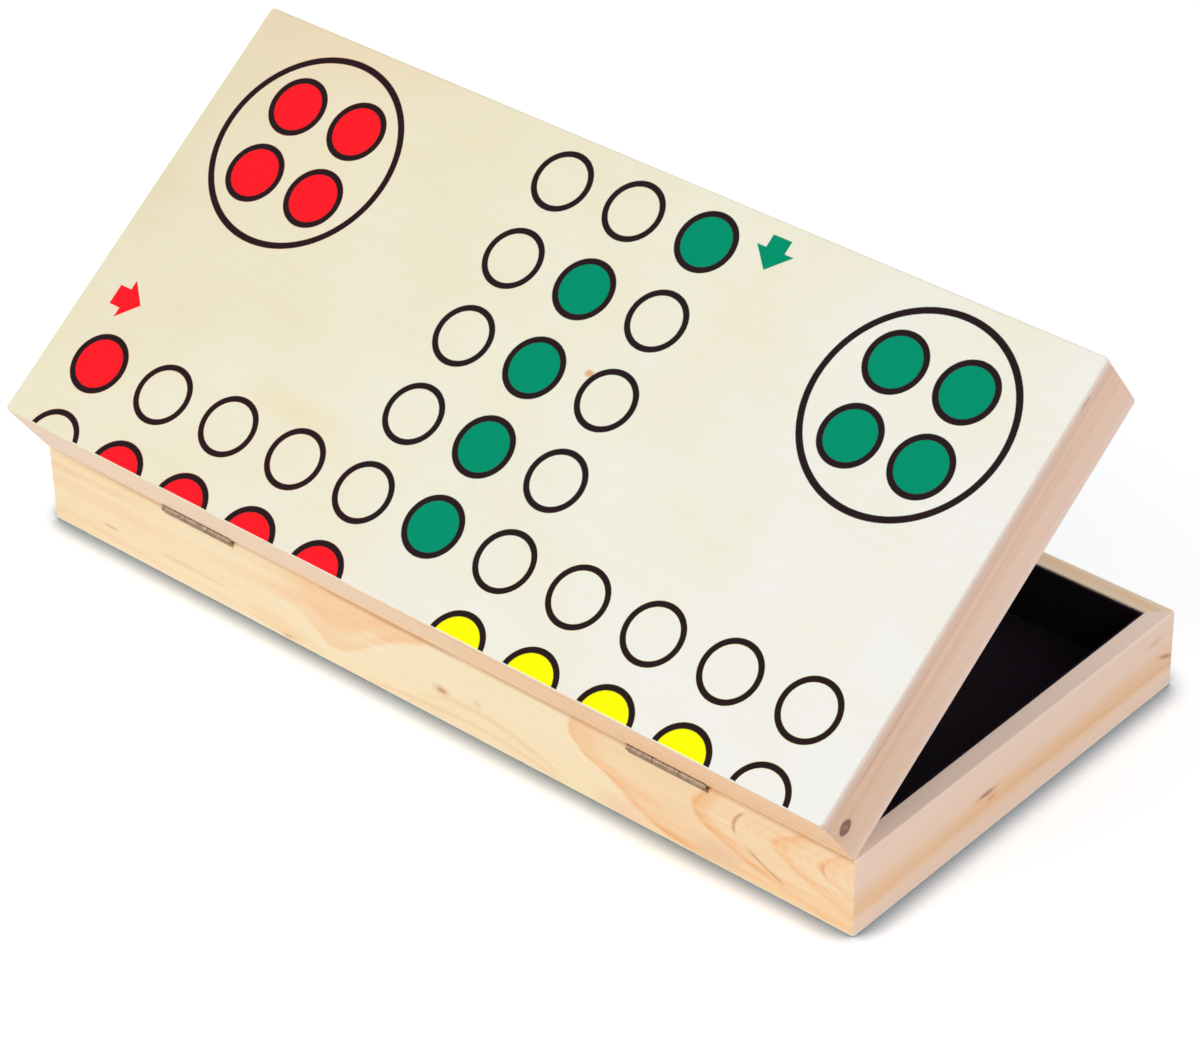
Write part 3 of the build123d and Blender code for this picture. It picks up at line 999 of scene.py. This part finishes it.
finishes = {
    "base_panel": printed_ply("printed_ply_base", False),
    "lid_panel": printed_ply("printed_ply_lid", True),
    "base_spine_wall": drawn_pine("pine_base_spine", False, base_spine_figure),
    "base_right_end_wall": drawn_pine("pine_base_right_end", False, base_right_end_figure),
    "lid_spine_wall": drawn_pine("pine_lid_spine", True, lid_spine_figure),
    "lid_right_end_wall": drawn_pine("pine_lid_right_end", True, lid_right_end_figure),
    "base_opening_wall": plain_pine("pine_base_opening", "x", False, (4, 96, 31), 4.2, 0.012),
    "base_left_end_wall": plain_pine("pine_base_left_end", "y", False, (9, -150, -6), 3.4, -0.01),
    "lid_opening_wall": plain_pine("pine_lid_opening", "x", True, (7, 130, -20), 3.6, -0.014),
    "lid_left_end_wall": plain_pine("pine_lid_left_end", "y", True, (5, -140, 34), 3.9, 0.012),
}
hinge_steel = {
    "base": hinge_finish("hinge_steel_base", False),
    "lid": hinge_finish("hinge_steel_lid", True),
}
brass = {"base": brass_finish("brass_base", False), "lid": brass_finish("brass_lid", True)}
for half in ("base", "lid"):
    finishes[f"{half}_hinge_screws"] = hinge_steel[half]
    for hand in ("left", "right"):
        finishes[f"{hand}_hinge_{half}_leaf"] = hinge_steel[half]
for pin in ("left_hinge_pin", "right_hinge_pin"):
    finishes[pin] = hinge_steel["base"]
finishes["latch_catch_screw"] = brass["base"]
finishes["latch_pivot_screw"] = brass["lid"]
finishes["latch_hook"] = brass["lid"]

for node, material in finishes.items():
    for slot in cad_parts[node].material_slots:
        slot.material = material


# Floor, light and camera

FLOOR_SIZE = 8.0
FLOOR_DROP = 0.00005
SHADED_FLOOR = paint(160, 172, 182)
LIT_FLOOR = (0.96, 0.985, 1.02, 1.0)
FLOOR_GLOW = (0.3, 0.3, 0.3, 1.0)
BOUNCE_FLOOR = paint(240, 241, 245)
SKY_LIGHT = 0.595
SKY_SEEN = 1.0
LAMPS_AIM = Vector((0, 0, 0.04))
# Name, place and size in metres, power in watts, and colour
LAMPS = (
    ("key_softbox", (-0.6, -1.3, 0.9), 1.0, 9.4, (1.0, 0.985, 0.96)),
    ("side_softbox", (1.3, -0.35, 0.8), 0.9, 4.3, (1.0, 0.99, 0.97)),
    ("far_softbox", (0.9, 0.7, 1.4), 1.2, 2.5, (0.97, 0.98, 1.0)),
)
CAMERA_PLACE = (0.544089, -0.609565, 0.588504)
CAMERA_TURN = (55.1271, 0.995, 40.9766)
CAMERA_LENS = 131.573
CAMERA_SENSOR = 36.0


def stage_material():
    """White, and greyer where the box keeps the light off it."""
    finish = Finish("studio_floor")
    seen_directly = finish.ray("Camera")
    reach = {"Distance": CONTACT_REACH}
    open_sky = finish.node("ShaderNodeAmbientOcclusion", {"samples": 16}, reach, "AO")
    lit = open_sky.above(0.45, 1.0)
    seen = finish.blend(SHADED_FLOOR, LIT_FLOOR, lit)
    glow = finish.blend(BLACK, FLOOR_GLOW, lit)
    return finish.dress(
        Base_Color=finish.blend(BOUNCE_FLOOR, seen, seen_directly),
        Roughness=1.0,
        Specular_IOR_Level=0.0,
        Emission_Color=finish.blend(BLACK, glow, seen_directly),
        Emission_Strength=1.0,
    )


def studio_world():
    """A white sky: full white to the camera, in reflections and through glass, dimmer as a light."""
    world = bpy.data.worlds.new("studio")
    sky = Shading(world, "ShaderNodeOutputWorld")
    seen = sky.ray("Camera").calc("MAXIMUM", sky.ray("Glossy"))
    seen = seen.calc("MAXIMUM", sky.ray("Transmission"))
    levels = {"Value": seen, "To Min": SKY_LIGHT, "To Max": SKY_SEEN}
    strength = sky.node("ShaderNodeMapRange", None, levels)
    sky.feed(sky.surface, sky.node("ShaderNodeBackground", None, {"Color": WHITE, "Strength": strength}))
    return world


def soft_lamp(name, place, size, power, colour):
    """A square softbox aimed at the middle of the box."""
    lamp = bpy.data.lights.new(name, "AREA")
    lamp.size = size
    lamp.energy = power
    lamp.color = colour
    holder = bpy.data.objects.new(name, lamp)
    holder.location = place
    aim = LAMPS_AIM - Vector(place)
    holder.rotation_euler = aim.to_track_quat("-Z", "Y").to_euler()
    bpy.context.collection.objects.link(holder)


bpy.ops.object.select_all(action="DESELECT")
bpy.ops.mesh.primitive_plane_add(size=FLOOR_SIZE, location=(0, 0, -FLOOR_DROP))
studio_floor = bpy.context.object
studio_floor.name = "studio_floor"
studio_floor.data.materials.append(stage_material())

bpy.context.scene.world = studio_world()
for lamp in LAMPS:
    soft_lamp(*lamp)

camera = bpy.data.cameras.new("camera")
camera.lens = CAMERA_LENS
camera.sensor_width = CAMERA_SENSOR
camera.clip_start = 0.05
camera.clip_end = 20.0
holder = bpy.data.objects.new("camera", camera)
holder.location = CAMERA_PLACE
holder.rotation_euler = [math.radians(angle) for angle in CAMERA_TURN]
bpy.context.collection.objects.link(holder)
bpy.context.scene.camera = holder
bpy.context.scene.view_settings.view_transform = "Standard"
